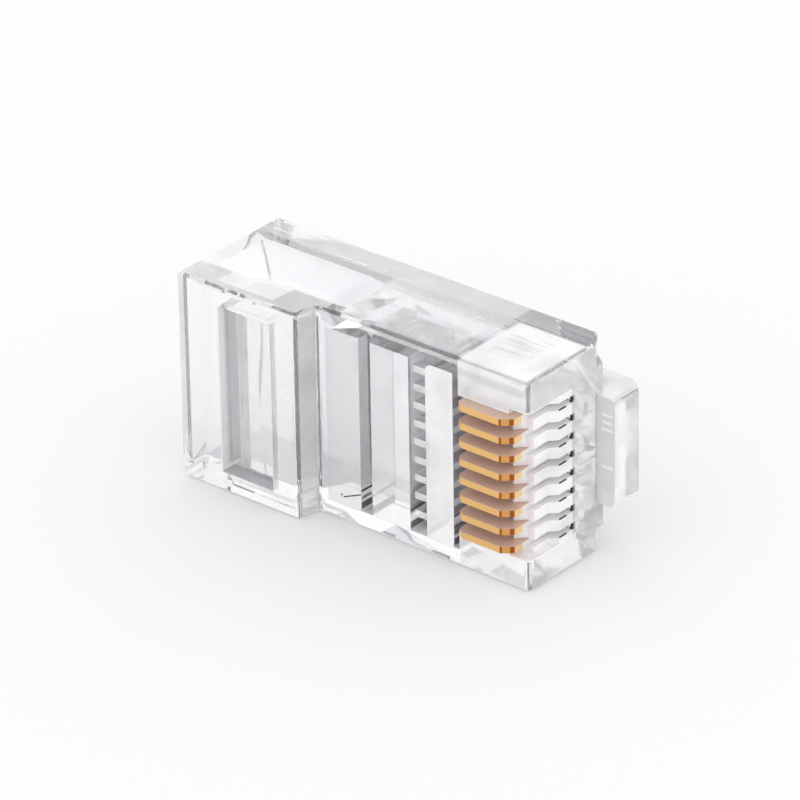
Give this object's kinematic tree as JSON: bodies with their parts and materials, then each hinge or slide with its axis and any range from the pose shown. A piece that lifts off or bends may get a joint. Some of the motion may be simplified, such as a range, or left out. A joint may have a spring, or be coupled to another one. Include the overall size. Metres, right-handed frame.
{
  "type": "modular plug",
  "caption": "Clear modular plug for a network cable, uncrimped, with gold-edged contact blades, a cable clamp window and a sprung latch lever.",
  "frame": {"origin": "on the surface it stands on, under the middle of the whole plug", "axes": "+X along the plug to its nose, -Y out of the contact side, +Y out of the latch side, +Z across its width; it stands on a side wall as in the picture"},
  "size_m": [0.0226, 0.0118, 0.0117],
  "materials": {
    "clear_plastic": "clear moulded polycarbonate, polished",
    "contact_metal": "phosphor bronze blade with a gold-plated outer edge"
  },
  "bodies": {
    "housing": {"housing": "clear_plastic"},
    "latch": {"latch": "clear_plastic"},
    "contact_1": {"contact_1": "contact_metal"},
    "contact_2": {"contact_2": "contact_metal"},
    "contact_3": {"contact_3": "contact_metal"},
    "contact_4": {"contact_4": "contact_metal"},
    "contact_5": {"contact_5": "contact_metal"},
    "contact_6": {"contact_6": "contact_metal"},
    "contact_7": {"contact_7": "contact_metal"},
    "contact_8": {"contact_8": "contact_metal"}
  },
  "joints": [
    {"name": "latch_flex", "type": "hinge", "parent": "housing", "child": "latch", "pos_m": [0.00978, 0.00209, 0.00584], "axis": [0, 0, 1], "range_deg": [0, 11], "stiffness_Nm_per_rad": 0.1},
    {"name": "contact_1_crimp", "type": "slide", "parent": "housing", "child": "contact_1", "axis": [0, 1, 0], "range_m": [0, 0.001]},
    {"name": "contact_2_crimp", "type": "slide", "parent": "housing", "child": "contact_2", "axis": [0, 1, 0], "range_m": [0, 0.001]},
    {"name": "contact_3_crimp", "type": "slide", "parent": "housing", "child": "contact_3", "axis": [0, 1, 0], "range_m": [0, 0.001]},
    {"name": "contact_4_crimp", "type": "slide", "parent": "housing", "child": "contact_4", "axis": [0, 1, 0], "range_m": [0, 0.001]},
    {"name": "contact_5_crimp", "type": "slide", "parent": "housing", "child": "contact_5", "axis": [0, 1, 0], "range_m": [0, 0.001]},
    {"name": "contact_6_crimp", "type": "slide", "parent": "housing", "child": "contact_6", "axis": [0, 1, 0], "range_m": [0, 0.001]},
    {"name": "contact_7_crimp", "type": "slide", "parent": "housing", "child": "contact_7", "axis": [0, 1, 0], "range_m": [0, 0.001]},
    {"name": "contact_8_crimp", "type": "slide", "parent": "housing", "child": "contact_8", "axis": [0, 1, 0], "range_m": [0, 0.001]}
  ]
}
